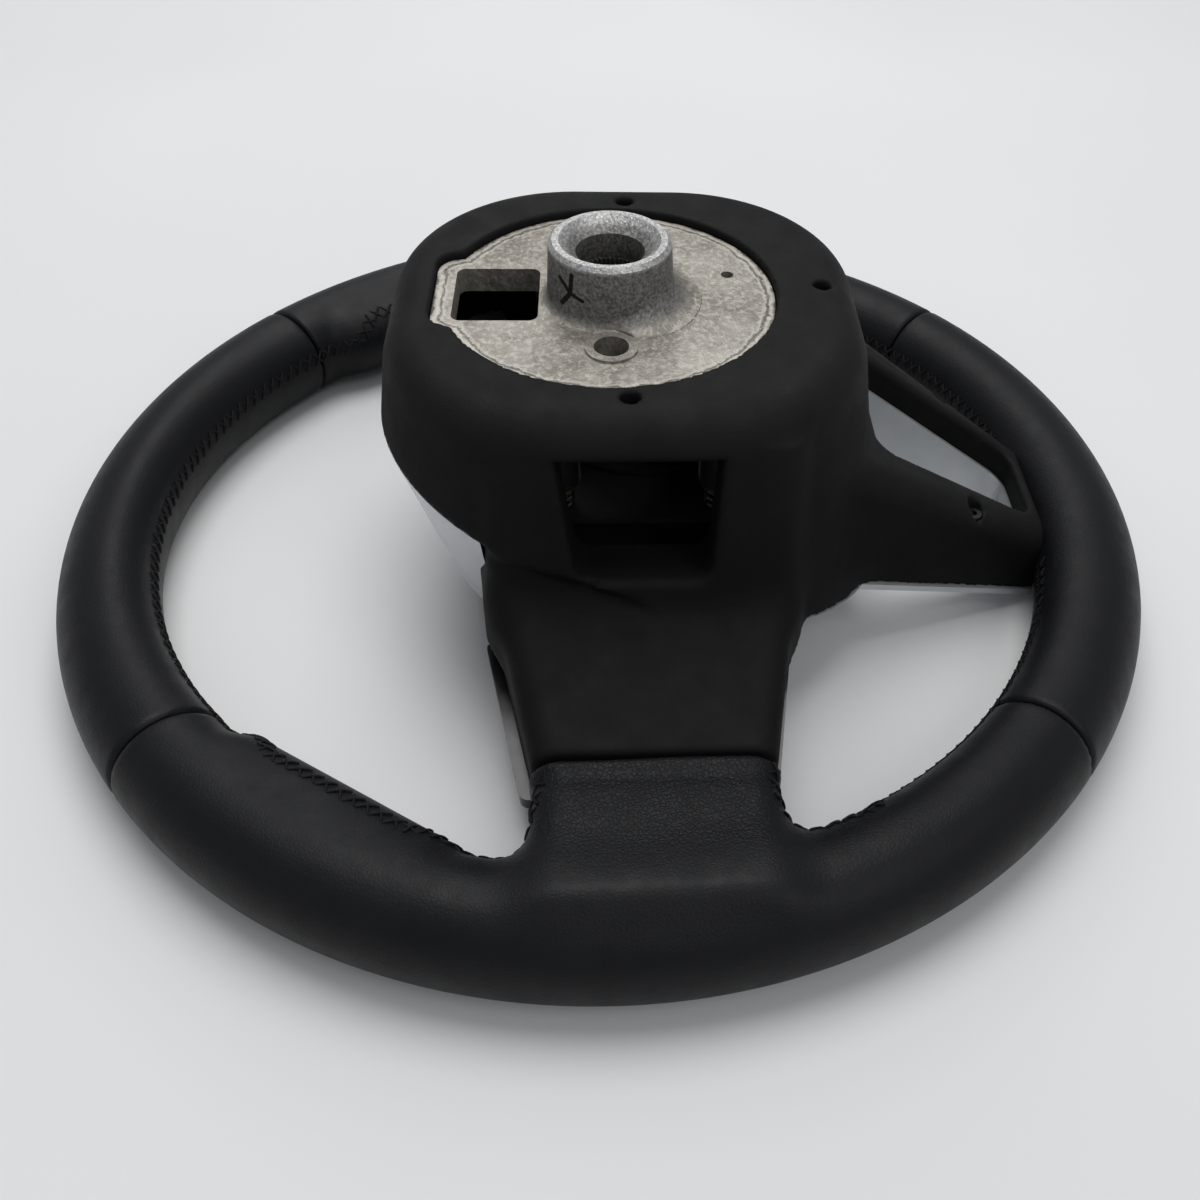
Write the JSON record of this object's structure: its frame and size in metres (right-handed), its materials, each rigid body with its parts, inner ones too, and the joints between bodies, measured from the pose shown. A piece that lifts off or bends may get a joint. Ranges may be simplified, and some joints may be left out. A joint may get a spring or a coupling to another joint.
{
  "type": "car steering wheel",
  "caption": "Leather-rimmed car steering wheel with side spokes, a slotted lower spoke, a splined cast boss, switch keys and a sprung horn pad",
  "frame": {"origin": "on the floor under the middle of the rim, with the wheel lying on the driver's side of its rim", "axes": "+Z is the steering axis towards the column, +Y points to 12 o'clock and -X is the driver's right-hand side"},
  "size_m": [0.37, 0.37, 0.1275],
  "materials": {
    "cast_alloy": "as cast",
    "foam": "matt, finely grained polyurethane skin",
    "leather": "smooth grain, satin",
    "silver_paint": "satin silver paint on plastic",
    "gloss_black": "high gloss",
    "black_plastic": "matt",
    "key_plastic": "satin",
    "pad_skin": "finely grained, matt",
    "zinc_steel": "zinc plated",
    "cushion_fabric": "woven",
    "white_plastic": "natural",
    "spring_steel": "bright drawn",
    "contact_brass": "plain",
    "black_steel": "black zinc"
  },
  "bodies": {
    "wheel": {"armature": "cast_alloy", "foam_body": "foam", "leather_upper": "leather", "leather_lower": "leather", "leather_left": "leather", "leather_right": "leather", "front_bezel": "silver_paint", "spoke_trim_left": "gloss_black", "spoke_trim_right": "gloss_black", "switch_housing_left": "black_plastic", "switch_housing_right": "black_plastic", "guide_bushes": "white_plastic", "horn_springs": "spring_steel", "horn_contacts": "contact_brass", "bezel_screws": "black_steel"},
    "horn_module": {"horn_pad": "pad_skin", "airbag_tray": "black_steel", "airbag_cushion": "cushion_fabric", "gas_generator": "black_steel", "guide_pins": "zinc_steel"},
    "left_upper_key": {"key_left_upper": "key_plastic"},
    "left_middle_key": {"key_left_middle": "key_plastic"},
    "left_lower_key": {"key_left_lower": "key_plastic"},
    "right_upper_key": {"key_right_upper": "key_plastic"},
    "right_middle_key": {"key_right_middle": "key_plastic"},
    "right_lower_key": {"key_right_lower": "key_plastic"}
  },
  "joints": [
    {"name": "horn_press", "type": "slide", "parent": "wheel", "child": "horn_module", "axis": [0, 0, 1], "range_m": [0, 0.002], "stiffness_N_per_m": 10000, "deforming": ["horn_springs"]},
    {"name": "left_upper_press", "type": "slide", "parent": "wheel", "child": "left_upper_key", "axis": [0.1699, 0, 0.9855], "range_m": [0, 0.0012], "stiffness_N_per_m": 800},
    {"name": "left_middle_press", "type": "slide", "parent": "wheel", "child": "left_middle_key", "axis": [0.1699, 0, 0.9855], "range_m": [0, 0.0012], "stiffness_N_per_m": 800},
    {"name": "left_lower_press", "type": "slide", "parent": "wheel", "child": "left_lower_key", "axis": [0.1699, 0, 0.9855], "range_m": [0, 0.0012], "stiffness_N_per_m": 800},
    {"name": "right_upper_press", "type": "slide", "parent": "wheel", "child": "right_upper_key", "axis": [-0.1699, 0, 0.9855], "range_m": [0, 0.0012], "stiffness_N_per_m": 800},
    {"name": "right_middle_press", "type": "slide", "parent": "wheel", "child": "right_middle_key", "axis": [-0.1699, 0, 0.9855], "range_m": [0, 0.0012], "stiffness_N_per_m": 800},
    {"name": "right_lower_press", "type": "slide", "parent": "wheel", "child": "right_lower_key", "axis": [-0.1699, 0, 0.9855], "range_m": [0, 0.0012], "stiffness_N_per_m": 800}
  ]
}
